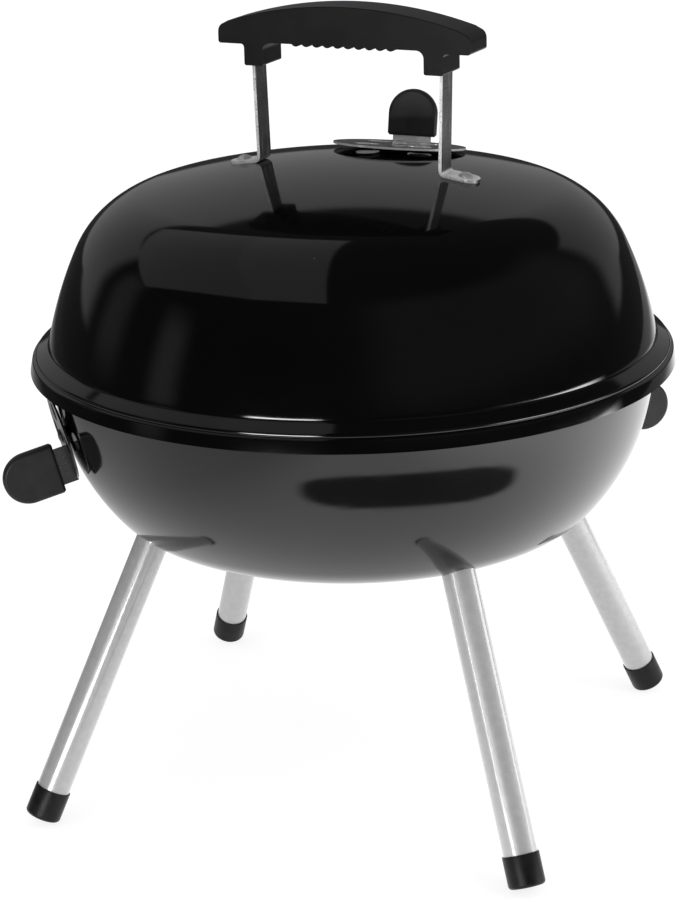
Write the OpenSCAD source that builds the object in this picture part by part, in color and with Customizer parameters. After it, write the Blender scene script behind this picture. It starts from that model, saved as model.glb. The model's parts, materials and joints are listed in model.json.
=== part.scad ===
// Kettle charcoal grill: a round enamelled bowl on four splayed tube legs, a domed lid with an
// arched handle, three turning air dampers and two wire grates. Millimetres, +Z up. The origin is
// on the kettle's centre line at the floor, and the front faces -Y.

/* [Bowl] */
// Outer radius of the bowl's upright wall
bowl_r = 173; // [172:0.1:174]
// Height at which the bowl's wall ends and its rolled rim begins
bowl_wall_z = 251.5; // [250:0.5:253]
// Radius of the long arc down the bowl's side
bowl_side_arc = 124.5; // [116:0.5:130]
// Lean of the wall where the side arc ends
bowl_side_turn = 41; // [38:1:44]
// Radius of the arc between the side and the bottom
bowl_corner_arc = 43.5; // [40:0.5:48]
// Lean of the wall where the corner arc ends
bowl_corner_turn = 70; // [68:1:72]
// Thickness of the enamelled sheet of the bowl and the lid
sheet = 1.2; // [1.0:0.1:1.4]

/* [Lid] */
// Outer radius of the lid's wall just above its flange
lid_wall_r = 173.9; // [173:0.1:174.5]
// Height at which the lid's wall starts
lid_wall_z = 266.5; // [266:0.5:268]
// Lean of the lid's wall where it starts
lid_wall_lean = 12.3; // [10:0.1:14]
// Radius of the long arc up the lid's side
lid_side_arc = 240; // [220:1:250]
// Lean of the lid where the side arc ends
lid_side_turn = 25.3; // [24:0.1:28]
// Radius of the lid's shoulder arc
lid_corner_arc = 58.5; // [52:0.5:64]
// Lean of the lid where the shoulder arc ends and the crown begins
lid_corner_turn = 76.3; // [74:0.1:79]
// Outer radius of the lid's flange
flange_r = 185; // [184:0.5:186]
// Angle by which the lid is turned on the bowl
lid_turn = -5.5; // [-10:0.5:10]

/* [Legs] */
// Lean of each leg from the vertical
leg_tilt = 26; // [24:1:28]
// Outer radius of the leg tube
leg_r = 9.5; // [8:0.5:11]
// Wall thickness of the leg tube
leg_wall = 1.2; // [1:0.1:1.5]
// Outer radius of the foot cap
cap_r = 10.3; // [9.9:0.1:12]
// Length of the foot cap
cap_h = 18; // [14:1:24]
// Depth of the flat that the foot cap stands on
cap_flat = 0.7; // [0.4:0.1:1.2]
// Angle of the first leg from the +X direction
leg_angle = 45; // [40:1:50]

/* [Handle] */
// Length of the handle's grip
grip_l = 153; // [150:1:156]
// Width of the grip
grip_w = 24; // [20:1:28]
// Height of the grip at its middle
grip_h = 23; // [20:1:26]
// Radius of the grip's arched top
grip_arch_r = 245; // [235:5:300]
// Height of the grip's underside
grip_z = 429.5; // [427:0.5:432]
// Distance by which the handle sits off the lid's centre line
handle_shift = 3; // [0:0.5:3]
// Distance of each strap's root from the handle's middle
strap_x = 55.8; // [54:0.1:57]
// Outward lean of the straps
strap_lean = 1.5; // [0:0.5:2]
// Width of the straps
strap_w = 14; // [12:1:16]
// Thickness of the straps
strap_t = 1.8; // [1.5:0.1:2]
// Distance of each handle screw from the handle's middle
handle_screw_x = 68.5; // [67.5:0.5:69.5]

/* [Dampers] */
// Radius of the lid's damper disc
lid_damper_r = 38.8; // [37:0.1:39]
// Distance of the lid's damper from the lid's centre line
lid_damper_at = 64; // [62:0.5:66]
// Angle of the lid's damper from the handle's +X end
lid_damper_angle = 87; // [85:0.5:95]
// Extra distance out at which the lid damper's plane touches the crown, which tilts the damper
lid_damper_reach = 15; // [10:1:16]
// Angle of the lid damper's thumb tab from the outward direction
lid_damper_turn = 13.5; // [-10:0.5:15]
// Radius of the bowl's damper discs
side_damper_r = 25; // [24.5:0.5:26.5]
// Height of the bowl's left damper on the wall
left_damper_z = 221; // [216:0.5:222]
// Height of the bowl's right damper on the wall
right_damper_z = 216.5; // [216:0.5:222]
// Angle of the bowl's left damper from the +X direction
left_damper_angle = 215.5; // [212:0.5:218]
// Angle of the bowl's right damper from the +X direction
right_damper_angle = 39.5; // [37:0.5:42]
// Thickness of the damper plates
plate_t = 1.2; // [1:0.1:1.4]

/* [Grates] */
// Radius of the cooking grate's ring
cook_r = 161; // [160:1:165]
// Height of the cooking grate's ring
cook_z = 243; // [242:0.5:244]
// Spacing of the cooking grate's wires
cook_step = 12; // [10:1:16]
// Wire radius of the cooking grate's ring
cook_ring_wire = 2; // [1.5:0.1:2.5]
// Wire radius of the cooking grate's bars
cook_bar_wire = 1.5; // [1.2:0.1:2]
// Lean of the bowl's wall at which the charcoal grate rests
coal_lean = 45; // [43:1:48]
// Spacing of the charcoal grate's wires
coal_step = 16; // [13:1:20]
// Wire radius of the charcoal grate
coal_wire = 2; // [1.5:0.1:2.5]

/* [Hidden] */

// Clearances: between fixed pieces, between moving pieces, and round a pin that turns
fixed_gap = 0.05;
moving_gap = 0.3;
pin_gap = 0.07;
big = 1000;

// A point, and a row of points, on an arc about c
function arc_end(c, r, t) = [c[0] + r * cos(t), c[1] + r * sin(t)];
function arc_points(c, r, a, b, n) = [for (i = [0:n]) arc_end(c, r, a + (b - a) * i / n)];
function reversed(list) = [for (i = [len(list) - 1:-1:0]) list[i]];

// Bowl profile: three tangent arcs, each centred on the normal of the last
bowl_c1 = [bowl_r - bowl_side_arc, bowl_wall_z];
bowl_p1 = arc_end(bowl_c1, bowl_side_arc, -bowl_side_turn);
bowl_c2 = arc_end(bowl_p1, -bowl_corner_arc, -bowl_side_turn);
bowl_p2 = arc_end(bowl_c2, bowl_corner_arc, -bowl_corner_turn);
bowl_arc3 = bowl_p2[0] / cos(bowl_corner_turn);
bowl_c3 = arc_end(bowl_p2, -bowl_arc3, -bowl_corner_turn);
// The bowl's skin from its bottom centre to the top of its wall, grown by g
function bowl_skin(g) = concat(
    arc_points(bowl_c3, bowl_arc3 + g, -90, -bowl_corner_turn - 1, 14),
    arc_points(bowl_c2, bowl_corner_arc + g, -bowl_corner_turn, -bowl_side_turn - 1, 14),
    arc_points(bowl_c1, bowl_side_arc + g, -bowl_side_turn, 0, 18)
);

// Rolled rim of the bowl
curl_r = 3.5;
curl_c = [bowl_r + 5, bowl_wall_z + 4.9];
bowl_outline = concat(
    bowl_skin(0),
    arc_points(curl_c, curl_r - sheet, 180, -70, 16),
    arc_points(curl_c, curl_r, -70, 180, 20),
    reversed(bowl_skin(-sheet))
);

// Lid profile: three tangent arcs
lid_c1 = arc_end([lid_wall_r, lid_wall_z], -lid_side_arc, lid_wall_lean);
lid_p1 = arc_end(lid_c1, lid_side_arc, lid_side_turn);
lid_c2 = arc_end(lid_p1, -lid_corner_arc, lid_side_turn);
lid_p2 = arc_end(lid_c2, lid_corner_arc, lid_corner_turn);
crown_arc = lid_p2[0] / cos(lid_corner_turn);
crown_z = lid_p2[1] - crown_arc * sin(lid_corner_turn);
function crown_lean(r) = asin(r / crown_arc);
function crown_top(r) = crown_z + sqrt(crown_arc * crown_arc - r * r);
// The lid's skin from its wall to the top of its crown, grown by g
function lid_skin(g) = concat(
    arc_points(lid_c1, lid_side_arc + g, lid_wall_lean, lid_side_turn - 0.5, 9),
    arc_points(lid_c2, lid_corner_arc + g, lid_side_turn, lid_corner_turn - 1, 20),
    arc_points([0, crown_z], crown_arc + g, lid_corner_turn, 90, 12)
);
// The flange's outer face from its lower edge up to the wall, and its inner face back down
flange_low = lid_wall_z - 15;
flange_outer = concat(
    [[flange_r, flange_low]],
    arc_points([flange_r - 1.9, lid_wall_z - 9.2], 1.9, 0, 80, 7),
    arc_points([flange_r - 2.1, lid_wall_z - 6.3], 1, 265, 215, 4),
    arc_points([flange_r - 5.2, lid_wall_z - 6.6], 2, 15, 62, 5),
    arc_points([lid_wall_r + 2, lid_wall_z], 2, 245, 190, 5)
);
flange_inner = concat(
    [[lid_wall_r + 0.4, lid_wall_z - 2.6]],
    arc_points([flange_r - 6, lid_wall_z - 8], 2, 62, 20, 4),
    arc_points([flange_r - 3.2, lid_wall_z - 10.8], 2, 70, 0, 5),
    [[flange_r - sheet, flange_low]]
);
lid_outline = concat(flange_outer, lid_skin(0), reversed(lid_skin(-sheet)), flange_inner);

// Legs: each stands square to the bowl's corner arc and ends in a foot cap on the floor
leg_top = arc_end(bowl_c2, bowl_corner_arc, leg_tilt - 90);
cap_low = cap_r * sin(leg_tilt) - cap_flat;
leg_len = (leg_top[1] - cap_low) / cos(leg_tilt);
cap_floor = 3;
plug_len = 22;
plug_top = 1.5;
bolt_r = 3;
bolt_len = 18;
leg_angles = [for (i = [0:3]) leg_angle + 90 * i];

// Side vents, each an angle and a height: the rivet stands on the side arc, square to the wall
left_vent = [left_damper_angle, left_damper_z];
right_vent = [right_damper_angle, right_damper_z];
function side_lean(vent) = asin((bowl_wall_z - vent[1]) / bowl_side_arc);
side_hole_r = 5.5;
side_hole_ring = 15.5;
side_hole_angles = [90, 180, 270];

// Lid vent
lid_hole_r = 7;
lid_hole_ring = 22;
lid_hole_angles = [45, 135, 225, 315];

// Damper stack, measured out from the sheet: spacer, plate, rivet head
side_stand = 1.4;
lid_stand = 0.6;
rivet_r = 2.5;
rivet_head_r = 4.6;
rivet_head_h = 1.8;
spacer_r = 5.5;

// Thumb tabs and their caps
tab_t = 1.2;
side_tab_w = 22;
side_tab_x = 15;
side_tab_y = 5;
side_cap_from = 10.2;
side_cap = [30, 32.5, 6.4];
lid_tab_w = 23;
lid_tab_x = 32;
lid_cap_from = 7;
lid_cap = [27.5, 26, 6.4];

// Handle
boss_x = 54.7;
boss_l = 11.5;
boss_h = 12;
bend_r = 3.4;
strap_up = [sin(strap_lean), cos(strap_lean)];
strap_out = [cos(strap_lean), -sin(strap_lean)];
strap_root_z = crown_top(strap_x);
strap_l = (grip_z + 8 - strap_root_z) / cos(strap_lean);
strap_past = 1;
function screw_at(side) = handle_screw_x + side * handle_shift;
function strap_root(side) = [strap_x + side * handle_shift, strap_root_z];
screw_r = 2.4;
screw_head_r = 4.2;
screw_head_h = 2.4;
nut_r = 4.4;
nut_h = 4;
washer_t = 1;
washer_r = 6;
bump_count = 10;
bump_step = 6.4;
bump_r = 2.9;
bump_in = 3;
grip_recess = 1.2;
bump_z = grip_z + grip_recess + bump_r - 1.1;

// Grates
coal_seat = bowl_corner_arc - sheet - coal_wire - moving_gap;
coal_ring = arc_end(bowl_c2, coal_seat, -coal_lean);
bracket_t = 1.5;
bracket_w = 12;
bracket_in = 14;
bracket_up = 10;

// The bowl filled solid up to the top of its wall and grown by g, for trimming what meets it
module bowl_fill(g) {
    rotate_extrude($fn = 180) polygon(concat(bowl_skin(g), [[0, bowl_wall_z]]));
}

module on_leg(angle) {
    rotate([0, 0, angle]) translate([leg_top[0], 0, leg_top[1]])
        rotate([0, 180 - leg_tilt, 0]) children();
}

module on_side_vent(vent) {
    point = arc_end(bowl_c1, bowl_side_arc, -side_lean(vent));
    rotate([0, 0, vent[0]]) translate([point[0], 0, point[1]])
        rotate([0, 90 + side_lean(vent), 0]) children();
}

module on_lid() {
    rotate([0, 0, lid_turn]) children();
}

module on_lid_vent() {
    touch = lid_damper_at + lid_damper_reach;
    on_lid() rotate([0, 0, lid_damper_angle]) translate([touch, 0, crown_top(touch)])
        rotate([0, crown_lean(touch), 0]) translate([-lid_damper_reach, 0, 0])
            rotate([0, 0, lid_damper_turn]) children();
}

// One end of the handle: +1 is the end towards +X, and -1 is the other
module on_handle_end(side) {
    on_lid() rotate([0, 0, side > 0 ? 0 : 180]) children();
}

// The plane that touches the crown at a handle screw
module on_foot_plane(side) {
    translate([screw_at(side), 0, crown_top(screw_at(side))])
        rotate([0, crown_lean(screw_at(side)), 0]) children();
}

module on_handle_screw(side) {
    on_handle_end(side) on_foot_plane(side) children();
}

// Round holes in a ring, through everything near z = 0
module ring_holes(ring, r, angles) {
    for (a = angles) rotate([0, 0, a]) translate([ring, 0, -6]) cylinder(r = r, h = 12, $fn = 48);
}

module bowl() {
    color("#2c2c2e") difference() {
        rotate_extrude($fn = 180) polygon(bowl_outline);
        for (a = leg_angles) on_leg(a) translate([0, 0, -6]) cylinder(r = bolt_r + 0.3, h = 12, $fn = 48);
        for (vent = [left_vent, right_vent]) on_side_vent(vent) {
            translate([0, 0, -6]) cylinder(r = rivet_r + fixed_gap, h = 12, $fn = 48);
            ring_holes(side_hole_ring, side_hole_r, side_hole_angles);
        }
    }
}

// Four welded angle brackets that the cooking grate rests on
module grate_brackets() {
    top = cook_z - cook_ring_wire - moving_gap;
    color("#303032") intersection() {
        bowl_fill(-sheet - fixed_gap);
        for (a = [0:90:270]) rotate([0, 0, a]) translate([0, -bracket_w / 2, top - bracket_t]) {
            translate([bowl_r - bracket_in, 0, 0]) cube([bracket_in, bracket_w, bracket_t]);
            intersection() {
                translate([bowl_r - bracket_in, 0, -bracket_up])
                    cube([bracket_in, bracket_w, bracket_up + bracket_t]);
                difference() {
                    translate([0, bracket_w / 2, -bracket_up])
                        cylinder(r = bowl_r, h = bracket_up + bracket_t, $fn = 180);
                    translate([0, bracket_w / 2, -bracket_up - 1])
                        cylinder(r = bowl_r - 4.2, h = bracket_up + bracket_t + 2, $fn = 180);
                }
            }
        }
    }
}

module leg(angle) {
    color("#c4c5c7") difference() {
        on_leg(angle) difference() {
            translate([0, 0, -4]) cylinder(r = leg_r, h = leg_len + 4 - cap_floor - fixed_gap, $fn = 64);
            translate([0, 0, -5]) cylinder(r = leg_r - leg_wall, h = leg_len + 10, $fn = 64);
        }
        bowl_fill(fixed_gap);
    }
}

module foot(angle) {
    color("#242424") difference() {
        on_leg(angle) translate([0, 0, leg_len - cap_h]) difference() {
            rotate_extrude($fn = 64) union() {
                square([cap_r, cap_h - 1]);
                square([cap_r - 1, cap_h]);
                translate([cap_r - 1, cap_h - 1]) circle(r = 1, $fn = 32);
            }
            translate([0, 0, -1]) cylinder(r = leg_r + fixed_gap, h = cap_h + 1 - cap_floor, $fn = 64);
        }
        translate([-big / 2, -big / 2, -20]) cube([big, big, 20]);
    }
}

// Threaded plugs in the tops of the legs
module leg_plugs() {
    color("#8d8d90") for (a = leg_angles) on_leg(a) translate([0, 0, plug_top]) difference() {
        cylinder(r = leg_r - leg_wall - fixed_gap, h = plug_len, $fn = 64);
        translate([0, 0, -1]) cylinder(r = bolt_r + fixed_gap, h = plug_len + 2, $fn = 48);
    }
}

module leg_bolts() {
    seat = sheet + 0.8 + washer_t + fixed_gap;
    color("#b4b5b8") for (a = leg_angles) on_leg(a) {
        translate([0, 0, -seat]) cylinder(r = bolt_r, h = seat + bolt_len, $fn = 48);
        translate([0, 0, -seat - 4]) cylinder(r = 5.8, h = 4, $fn = 6);
    }
}

module leg_washers() {
    color("#b4b5b8") for (a = leg_angles) on_leg(a) translate([0, 0, -sheet - 0.8 - washer_t]) difference() {
        cylinder(r = 7.8, h = washer_t, $fn = 64);
        translate([0, 0, -1]) cylinder(r = bolt_r + fixed_gap, h = washer_t + 2, $fn = 48);
    }
}

// A rivet with its spacer: a round head outside the damper and a flat tail inside the sheet
module vent_rivet(stand) {
    head_z = stand + plate_t + moving_gap;
    cylinder(r = spacer_r, h = stand - moving_gap, $fn = 64);
    translate([0, 0, -sheet - 1]) cylinder(r = rivet_r, h = head_z + sheet + 1.1, $fn = 48);
    translate([0, 0, -sheet - 2.1]) cylinder(r = rivet_head_r, h = 1.6, $fn = 64);
    translate([0, 0, head_z]) intersection() {
        cylinder(r = rivet_head_r, h = rivet_head_h, $fn = 64);
        translate([0, 0, rivet_head_h - 7]) sphere(r = 7, $fn = 96);
    }
}

module left_vent_rivet() {
    color("#3a3a3c") on_side_vent(left_vent) vent_rivet(side_stand);
}

module right_vent_rivet() {
    color("#3a3a3c") on_side_vent(right_vent) vent_rivet(side_stand);
}

module lid_vent_rivet() {
    color("#d6d7d9") on_lid_vent() vent_rivet(lid_stand);
}

module lid() {
    color("#101011") difference() {
        rotate_extrude($fn = 180) polygon(lid_outline);
        on_lid_vent() {
            translate([0, 0, -6]) cylinder(r = rivet_r + fixed_gap, h = 12, $fn = 48);
            ring_holes(lid_hole_ring, lid_hole_r, lid_hole_angles);
        }
        for (side = [-1, 1]) on_handle_screw(side)
            translate([0, 0, -6]) cylinder(r = screw_r + 0.2, h = 12, $fn = 48);
    }
}

// The outline of a strap's upright from its root to its top, grown by g
function strap_upright(side, g) = let(
    root = strap_root(side),
    top = root + (strap_l + g) * strap_up,
    half = (strap_t / 2 + g) * strap_out
) [root - half, root + half, top + half, top - half];

// The grip: an arched bar with rounded top edges, a ribbed underside and a boss round each strap
module handle_grip() {
    arch_z = grip_z + grip_h - grip_arch_r;
    end_h = 6.5;
    end_r = 5;
    edge_r = 4;
    arch_depth = 60;
    color("#262626") difference() {
        on_lid() translate([handle_shift, 0, 0]) union() {
            intersection() {
                translate([0, 0, arch_z]) rotate([90, 0, 0]) rotate_extrude($fn = 180) {
                    translate([grip_arch_r - arch_depth, -grip_w / 2]) square([arch_depth - edge_r, grip_w]);
                    translate([grip_arch_r - arch_depth, edge_r - grip_w / 2])
                        square([arch_depth, grip_w - 2 * edge_r]);
                    for (y = [-1, 1])
                        translate([grip_arch_r - edge_r, y * (grip_w / 2 - edge_r)])
                            circle(r = edge_r, $fn = 48);
                }
                translate([0, grip_w, 0]) rotate([90, 0, 0]) linear_extrude(2 * grip_w) difference() {
                    union() {
                        translate([-grip_l / 2, grip_z]) square([grip_l, end_h]);
                        translate([end_r - grip_l / 2, grip_z]) square([grip_l - 2 * end_r, grip_h]);
                        for (x = [-1, 1]) translate([x * (grip_l / 2 - end_r), grip_z + end_h])
                            circle(r = end_r, $fn = 48);
                    }
                    translate([-boss_x, grip_z - 1]) square([2 * boss_x, 1 + grip_recess]);
                }
            }
            for (i = [0:bump_count - 1])
                translate([(i - (bump_count - 1) / 2) * bump_step, bump_in - grip_w / 2, bump_z])
                    rotate([-90, 0, 0]) cylinder(r = bump_r, h = grip_w - 2 * bump_in, $fn = 32);
            for (x = [-1, 1]) translate([x * boss_x - boss_l / 2, -grip_w / 2, grip_z - boss_h])
                cube([boss_l, grip_w, boss_h + grip_recess + 1]);
        }
        for (side = [-1, 1]) on_handle_end(side)
            translate([0, strap_w / 2 + fixed_gap, 0]) rotate([90, 0, 0])
                linear_extrude(strap_w + 2 * fixed_gap) polygon(strap_upright(side, fixed_gap));
    }
}

// A strap: an upright, a bend, and a round-ended foot that lies along the crown
module handle_strap(side) {
    lean = crown_lean(screw_at(side));
    along = [cos(lean), -sin(lean)];
    above = [sin(lean), cos(lean)];
    half = strap_t / 2 * above;
    foot_mid = [screw_at(side), crown_top(screw_at(side))] + half;
    // Centre of the bend, bend_r from the foot's middle line and from the upright's
    bend_back = (bend_r - (foot_mid + bend_r * above - strap_root(side)) * strap_out) / (along * strap_out);
    bend_c = foot_mid + bend_r * above + bend_back * along;
    foot_end = foot_mid + 20 * along;
    upright = strap_upright(side, 0);
    color("#8f9093") on_handle_end(side) difference() {
        intersection() {
            translate([0, strap_w / 2, 0]) rotate([90, 0, 0]) linear_extrude(strap_w) polygon(concat(
                [upright[3]],
                arc_points(bend_c, bend_r + strap_t / 2, 180 - strap_lean, 270 - lean, 12),
                [foot_end - half, foot_end + half],
                arc_points(bend_c, bend_r - strap_t / 2, 270 - lean, 180 - strap_lean, 12),
                [upright[2]]
            ));
            on_foot_plane(side) linear_extrude(200, center = true) {
                translate([-80, -strap_w]) square([80 + strap_past, 2 * strap_w]);
                translate([strap_past, 0]) circle(r = strap_w / 2, $fn = 64);
            }
        }
        on_foot_plane(side) translate([0, 0, -2]) cylinder(r = screw_r + 0.1, h = 8, $fn = 48);
    }
}

module handle_strap_left() {
    handle_strap(-1);
}

module handle_strap_right() {
    handle_strap(1);
}

module handle_screws() {
    low = -sheet - washer_t - nut_h - 2;
    color("#c9cacc") for (side = [-1, 1]) on_handle_screw(side) {
        translate([0, 0, low]) cylinder(r = screw_r, h = strap_t + fixed_gap - low + 0.5, $fn = 48);
        translate([0, 0, strap_t + fixed_gap]) intersection() {
            cylinder(r = screw_head_r, h = screw_head_h, $fn = 64);
            translate([0, 0, screw_head_h - 5.4]) sphere(r = 5.4, $fn = 96);
        }
    }
}

module handle_nuts() {
    color("#b4b5b8") for (side = [-1, 1]) on_handle_screw(side)
        translate([0, 0, -sheet - washer_t - nut_h - 3 * fixed_gap]) difference() {
            cylinder(r = nut_r, h = nut_h, $fn = 6);
            translate([0, 0, -1]) cylinder(r = screw_r + fixed_gap, h = nut_h + 2, $fn = 48);
        }
}

module handle_washers() {
    color("#b4b5b8") for (side = [-1, 1]) on_handle_screw(side)
        translate([0, 0, -sheet - washer_t - 2 * fixed_gap]) difference() {
            cylinder(r = washer_r, h = washer_t, $fn = 64);
            translate([0, 0, -1]) cylinder(r = screw_r + fixed_gap, h = washer_t + 2, $fn = 48);
        }
}

// A damper disc with its air holes, lying on z = stand
module damper_disc(r, stand, ring, hole_r, angles) {
    translate([0, 0, stand]) difference() {
        cylinder(r = r, h = plate_t, $fn = 120);
        translate([0, 0, -1]) cylinder(r = rivet_r + pin_gap, h = plate_t + 2, $fn = 48);
        ring_holes(ring, hole_r, angles);
    }
}

// An upright thumb tab, w wide along X, from the disc up into its cap
module thumb_tab(w, stand, top) {
    translate([-w / 2, -tab_t / 2, stand]) cube([w, tab_t, top - stand]);
}

// A rounded cap over the tab: size is width, height and thickness
module thumb_cap(size, from, w) {
    difference() {
        translate([0, size[2] / 2, from]) rotate([90, 0, 0]) linear_extrude(size[2]) {
            translate([-size[0] / 2, 0]) square([size[0], size[1] - size[0] / 2]);
            translate([0, size[1] - size[0] / 2]) circle(r = size[0] / 2, $fn = 64);
        }
        translate([-w / 2 - fixed_gap, -tab_t / 2 - fixed_gap, from - 1])
            cube([w + 2 * fixed_gap, tab_t + 2 * fixed_gap, size[1] / 2 + 1 + fixed_gap]);
    }
}

module side_damper(vent) {
    color("#2a2a2c") on_side_vent(vent) {
        damper_disc(side_damper_r, side_stand, side_hole_ring, side_hole_r, side_hole_angles);
        translate([side_tab_x, side_tab_y, 0])
            thumb_tab(side_tab_w, side_stand, side_cap_from + side_cap[1] / 2);
    }
}

module side_damper_cap(vent) {
    color("#262626") on_side_vent(vent) translate([side_tab_x, side_tab_y, 0])
        thumb_cap(side_cap, side_cap_from, side_tab_w);
}

module left_damper() {
    side_damper(left_vent);
}

module left_damper_cap() {
    side_damper_cap(left_vent);
}

module right_damper() {
    side_damper(right_vent);
}

module right_damper_cap() {
    side_damper_cap(right_vent);
}

module lid_damper() {
    color("#d6d7d9") on_lid_vent() {
        damper_disc(lid_damper_r, lid_stand, lid_hole_ring, lid_hole_r, lid_hole_angles);
        translate([lid_tab_x, 0, 0]) rotate([0, 0, 90])
            thumb_tab(lid_tab_w, lid_stand, lid_cap_from + lid_cap[1] / 2);
    }
}

module lid_damper_cap() {
    color("#262626") on_lid_vent() translate([lid_tab_x, 0, 0]) rotate([0, 0, 90])
        thumb_cap(lid_cap, lid_cap_from, lid_tab_w);
}

// A round wire grate: a ring, parallel bars welded on top of it and two bars across below them
module grate(ring_r, z, ring_wire, bar_wire, step, cross) {
    bars = floor((ring_r - step / 3) / step);
    lift = ring_wire + bar_wire - 0.6;
    translate([0, 0, z]) {
        rotate_extrude($fn = 120) translate([ring_r, 0]) circle(r = ring_wire, $fn = 24);
        for (i = [-bars:bars]) {
            half = sqrt(ring_r * ring_r - i * i * step * step);
            translate([i * step, -half, lift])
                rotate([-90, 0, 0]) cylinder(r = bar_wire, h = 2 * half, $fn = 24);
        }
        for (y = [-1, 1]) {
            half = sqrt(ring_r * ring_r - cross * cross);
            translate([-half, y * cross, 0])
                rotate([0, 90, 0]) cylinder(r = ring_wire, h = 2 * half, $fn = 24);
        }
    }
}

module cooking_grate() {
    color("#c8c9cb") grate(cook_r, cook_z, cook_ring_wire, cook_bar_wire, cook_step, 70);
}

module charcoal_grate() {
    color("#8b8c8e") grate(coal_ring[0], coal_ring[1], coal_wire, coal_wire, coal_step, 56);
}

bowl();
grate_brackets();
leg(leg_angles[2]);  // leg_front_left
leg(leg_angles[3]);  // leg_front_right
leg(leg_angles[1]);  // leg_back_left
leg(leg_angles[0]);  // leg_back_right
foot(leg_angles[2]);  // foot_front_left
foot(leg_angles[3]);  // foot_front_right
foot(leg_angles[1]);  // foot_back_left
foot(leg_angles[0]);  // foot_back_right
leg_plugs();
leg_bolts();
leg_washers();
left_vent_rivet();
right_vent_rivet();
lid();
handle_grip();
handle_strap_left();
handle_strap_right();
handle_screws();
handle_nuts();
handle_washers();
lid_vent_rivet();
lid_damper();
lid_damper_cap();
left_damper();
left_damper_cap();
right_damper();
right_damper_cap();
cooking_grate();
charcoal_grate();
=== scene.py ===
"""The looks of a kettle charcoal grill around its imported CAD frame. All lengths are in metres."""
import json
import math

import bmesh
import bpy
import numpy as np
from mathutils import Matrix, Vector


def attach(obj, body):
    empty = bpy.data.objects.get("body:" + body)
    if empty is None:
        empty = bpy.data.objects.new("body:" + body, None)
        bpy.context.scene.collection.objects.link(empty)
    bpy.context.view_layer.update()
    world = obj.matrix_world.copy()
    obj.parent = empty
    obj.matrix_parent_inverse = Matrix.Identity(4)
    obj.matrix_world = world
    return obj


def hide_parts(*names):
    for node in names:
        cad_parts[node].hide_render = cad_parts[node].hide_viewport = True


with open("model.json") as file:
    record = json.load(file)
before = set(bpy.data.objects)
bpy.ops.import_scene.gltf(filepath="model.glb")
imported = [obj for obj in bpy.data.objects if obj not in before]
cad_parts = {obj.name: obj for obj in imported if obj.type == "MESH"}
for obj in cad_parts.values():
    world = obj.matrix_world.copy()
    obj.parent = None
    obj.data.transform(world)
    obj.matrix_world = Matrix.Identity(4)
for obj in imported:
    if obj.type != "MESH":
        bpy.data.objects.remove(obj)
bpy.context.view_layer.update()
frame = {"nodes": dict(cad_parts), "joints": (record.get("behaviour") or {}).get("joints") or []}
MM = 0.001

# The camera, as the photograph was taken: the object's front is turned to the right of the view
TURN = math.radians(19.5)
CAMERA_AWAY = 1.4226
CAMERA_UP = 0.6635
PITCH = math.radians(18.446)
YAW = math.radians(-0.98)
ROLL = math.radians(-1.566)
LENS = 102.64
SHIFT = (0.02937, 0.00845)

# Kettle sizes, as in the CAD model
SHEET = 1.2
BOWL_R = 173
BOWL_WALL_Z = 251.5
BOWL_SIDE_ARC = 124.5
BOWL_SIDE_TURN = 41
BOWL_CORNER_ARC = 43.5
BOWL_CORNER_TURN = 70
# The rolled rim's radius and centre
CURL_R = 3.5
CURL = (BOWL_R + 5, BOWL_WALL_Z + 4.9)
LID_R = 173.9
LID_Z = 266.5
LID_LEAN = 12.3
LID_SIDE_ARC = 240
LID_SIDE_TURN = 25.3
LID_CORNER_ARC = 58.5
LID_CORNER_TURN = 76.3
FLANGE_R = 185
FLANGE_DROP = 15
LID_TURN = math.radians(-5.5)
LEG_TILT = math.radians(26)
# A leg's foot and its top, as distance from the middle and height
LEG_END = (204.517, 3.815)
LEG_TOP = (128.7006, 159.2617)
LEG_ANGLES = {"back_right": 45, "back_left": 135, "front_left": 225, "front_right": 315}
LEG_BOLT_HOLE = 3.3
# Vents: the rivet's hole, then the air holes' radius, distance from the rivet and angles
RIVET_HOLE = 2.55
LID_VENT = (7, 22, (45, 135, 225, 315))
SIDE_VENT = (5.5, 15.5, (90, 180, 270))
LID_VENT_TURN = 13.5
# Thumb caps: width, height and thickness, and how far from the rivet they stand
SIDE_CAP = (30, 32.5, 6.4)
SIDE_CAP_AT = (15, 5)
LID_CAP = (29.3, 27.8, 6.4)
LID_CAP_AT = 32

# The handle's grip, its two bosses and the ribs between them
GRIP_Z = 429.5
GRIP_LENGTH = 153
GRIP_HEIGHT = 23
GRIP_WIDTH = 24
GRIP_ARCH = 245
GRIP_RECESS = 1.2
GRIP_SHIFT = 3
BOSS_X = 54.7
BOSS_LENGTH = 11.5
BOSS_HEIGHT = 12
RIB_COUNT = 10
RIB_STEP = 6.4
RIB_R = 3.1
RIB_INSET = 1.2

# The light: the world as a light, in polish and behind the object, then the floor
WORLD_LIGHT = 0.85
WORLD_IN_GLOSS = 0.045
WORLD_BEHIND = 1.3
FLOOR_RADIUS = 7
FLOOR_GREY = 0.3
FLOOR_LIGHT = 0.84
# Reflected floor: its brightness, and the middle and half size of the dark patch, in degrees and metres
FLOOR_GLOW = 1.45
FLAG_AZ = (19.0, 37.0)
FLAG_R = (0.428, 0.100)
# The overhead softbox in two halves that share the edge from ridge_far to ridge_near: right, away, up
SOFTBOX_UP = 0.34
SOFTBOX = {
    "far_left": (-0.705, 1.219, 0.987),
    "ridge_far": (-0.188, 0.615, 0.766),
    "far_right": (0, 0.8175, 1.2585),
    "near_right": (-0.216, -1.11, 0.984),
    "ridge_near": (-0.545, -0.584, 0.602),
    "near_left": (-1.377, 0.096, 0.587),
}
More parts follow.
